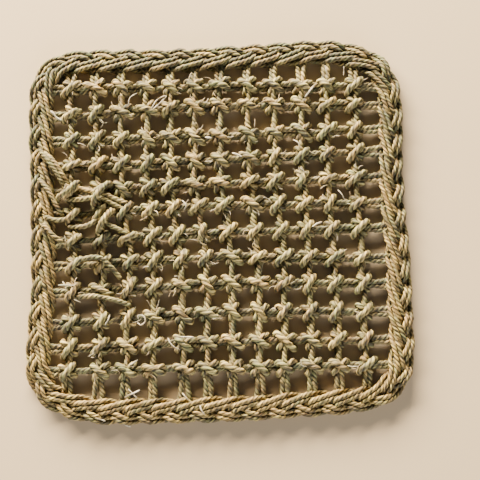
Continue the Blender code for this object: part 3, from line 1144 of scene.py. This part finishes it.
@dataclass
class Trim:
    """Cords that were added to mend the mat, and straws that have come loose."""

    layout: Layout
    sizes: TrimSizes
    cord: CordSizes
    straw: CordSizes
    rng: np.random.Generator

    def mending_cords(self) -> bpy.types.Object:
        """Makes the mending cords.

        Returns:
            Their one object.
        """
        mesh = CordMesh(self.cord, self.rng)
        for route in MENDING_ROUTES:
            mesh.add(route.metres(), scale=route.scale, tone=self.rng.uniform(*self.sizes.mending_tones))
        return mesh.build("mending_cords")

    def loose_straws(self) -> bpy.types.Object:
        """Makes the loose straws and the frayed fibres.

        Returns:
            Their one object.
        """
        sizes = self.sizes
        mesh = CordMesh(self.straw, self.rng)
        look = {"tone": sizes.straw_tone, "hue": sizes.straw_hue, "taper": sizes.straw_taper}
        spans = (sizes.scales, sizes.tones, sizes.hues)
        for route in STRAW_ROUTES:
            mesh.add(route.metres(), scale=route.scale, **look)
        for weft, warp in self.layout.crossings():
            if self.rng.random() > sizes.frayed_share:
                continue
            middle = self.layout.knot(weft, warp)
            for _ in range(self.rng.integers(1, sizes.most_fibres + 1)):
                points = self.fibre(middle)
                scale, tone, hue = (self.rng.uniform(*span) for span in spans)
                mesh.add(points, scale=scale, tone=tone, hue=hue, taper=sizes.taper)
        return mesh.build("loose_straws")

    def fibre(self, middle: np.ndarray) -> List[Point]:
        """The points of one frayed fibre.

        Args:
            middle: its knot's middle.

        Returns:
            Three points, from the knot outwards.
        """
        sizes = self.sizes
        angle = self.rng.uniform(0.0, 2 * math.pi)
        start = middle + self.rng.uniform(*sizes.reach) * np.array([math.cos(angle), math.sin(angle)])
        angle += self.rng.normal(0.0, sizes.swing)
        length = self.rng.uniform(*sizes.length)
        ahead = np.array([math.cos(angle), math.sin(angle)]) * length
        aside = np.array([-ahead[1], ahead[0]]) * self.rng.normal(0.0, sizes.bend)
        height = self.rng.uniform(*sizes.height)
        rise = self.rng.uniform(*sizes.rise) * length
        return [
            (*start, height),
            (*(start + ahead / 2 + aside), height + rise * sizes.middle_rise),
            (*(start + ahead), height + rise),
        ]


@dataclass(frozen=True)
class CameraSetup:
    """The photograph's view: nearly straight down, the mat's lower edge nearest."""

    elevation: float = math.radians(83)
    distance: float = 0.600
    target: Tuple[float, float] = (0.01226, -0.00344)
    half_picture: float = 240.0
    focal_pixels: float = 1070.0
    nearest: float = 0.01

    def build(self, layout: Layout) -> bpy.types.Object:
        """Makes the camera.

        Args:
            layout: gives the shift between the tables and the origin.

        Returns:
            The camera's object.
        """
        target = Vector((*(np.array(self.target) - layout.shift), 0.0))
        back = Vector((0.0, -math.cos(self.elevation), math.sin(self.elevation)))
        bpy.ops.object.camera_add(location=target + back * self.distance)
        camera = bpy.context.object
        camera.name = "photo_camera"
        camera.rotation_euler = (math.pi / 2 - self.elevation, 0.0, 0.0)
        camera.data.angle = 2 * math.atan(self.half_picture / self.focal_pixels)
        camera.data.clip_start = self.nearest
        bpy.context.scene.camera = camera
        return camera


@dataclass(frozen=True)
class StudioSetup:
    """Soft light, most of it from the mat's upper side, and a pale floor."""

    floor_size: float = 2.8
    floor_colour: Colour = (0.435, 0.330, 0.205, 1.0)
    floor_roughness: float = 0.9
    key_place: Point = (-0.55, 1.32, 0.43)
    key_size: Tuple[float, float] = (1.60, 0.42)
    key_power: float = 455.0
    key_colour: Tuple[float, float, float] = (1.0, 0.87, 0.66)
    fill_place: Point = (0.35, -1.30, 0.50)
    fill_size: Tuple[float, float] = (1.60, 0.60)
    fill_power: float = 42.0
    fill_colour: Tuple[float, float, float] = (1.0, 0.98, 0.96)
    sky_colour: Colour = (0.82, 0.88, 1.0, 1.0)
    sky_strength: float = 0.13

    def build(self) -> None:
        """Makes the floor, the two lights and the sky."""
        bpy.ops.mesh.primitive_plane_add(size=self.floor_size, location=(0.0, 0.0, 0.0))
        floor = bpy.context.object
        floor.name = "floor"
        shader = Shader("pale_floor")
        shader.surface.inputs["Base Color"].default_value = self.floor_colour
        shader.surface.inputs["Roughness"].default_value = self.floor_roughness
        floor.data.materials.append(shader.material)
        self.panel("key_light", self.key_place, self.key_size, self.key_power, self.key_colour)
        self.panel("fill_light", self.fill_place, self.fill_size, self.fill_power, self.fill_colour)
        world = bpy.data.worlds.new("soft_sky")
        world.use_nodes = True
        background = world.node_tree.nodes["Background"]
        background.inputs[0].default_value = self.sky_colour
        background.inputs[1].default_value = self.sky_strength
        bpy.context.scene.world = world

    def panel(
        self,
        name: str,
        place: Point,
        size: Tuple[float, float],
        power: float,
        colour: Tuple[float, float, float],
    ) -> None:
        """Makes a soft rectangular light that faces the mat.

        Args:
            name: the light's name.
            place: where it stands.
            size: its width and height.
            power: its power, in watts.
            colour: its colour.
        """
        bpy.ops.object.light_add(type="AREA", location=place)
        light = bpy.context.object
        light.name = name
        light.data.energy = power
        light.data.shape = "RECTANGLE"
        light.data.size, light.data.size_y = size
        light.data.color = colour
        light.rotation_euler = Vector(place).to_track_quat("Z", "Y").to_euler()


def dress(piece: bpy.types.Object, material: bpy.types.Material, nodes: Sequence[str]) -> None:
    """Gives a piece its finish and its place in the frame.

    Args:
        piece: the object.
        material: its finish.
        nodes: the solids that it stands for.
    """
    piece.data.materials.append(material)
    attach(piece, BODY)
    if nodes:
        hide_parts(*nodes)


def main() -> None:
    """Builds every piece, the stage and the camera."""
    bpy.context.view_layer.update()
    layout = Layout(MatSizes())
    CameraSetup().build(layout)
    StudioSetup().build()
    rng = np.random.default_rng(SEED)
    net_finish = StrawFinish("net_straw_finish").material()
    border_finish = StrawFinish(
        "border_straw_finish", middle=(0.180, 0.134, 0.056, 1.0), pale=(0.575, 0.425, 0.115, 1.0)
    ).material()
    # The loose straws get only a little painted crease shade.
    straw_finish = StrawFinish(
        "loose_straw_finish", pale=(0.90, 0.80, 0.62, 1.0), red=(0.55, 0.16, 0.07, 1.0), crease_shade_strength=0.2
    ).material()

    border_cord = CordSizes(diameter=0.0027, pitch=0.0088)
    net_cord = CordSizes()
    thin_cord = CordSizes(diameter=0.0031, pitch=0.0084)
    band_cord = CordSizes(diameter=0.0038, pitch=0.0115, ring_gap=0.0007)
    mending_cord = CordSizes(diameter=0.0028, pitch=0.0080)
    straw = CordSizes(diameter=0.0007, pitch=0.0200, ring_gap=0.0009, plies=2, points_per_ply=2)
    for number, piece in enumerate(Plait(layout, PlaitSizes(), border_cord, rng).build(), start=1):
        dress(piece, border_finish, [f"border_cord_{number}"])
    net = NetCords(layout, NetSizes(), rng).build(net_cord, thin_cord)
    for piece in net + Knots(layout, KnotSizes(), band_cord, rng).build():
        dress(piece, net_finish, ["knotted_net"])
    trim = Trim(layout, TrimSizes(), mending_cord, straw, rng)
    dress(trim.mending_cords(), net_finish, [])
    dress(trim.loose_straws(), straw_finish, [])


if __name__ == "__main__":
    main()
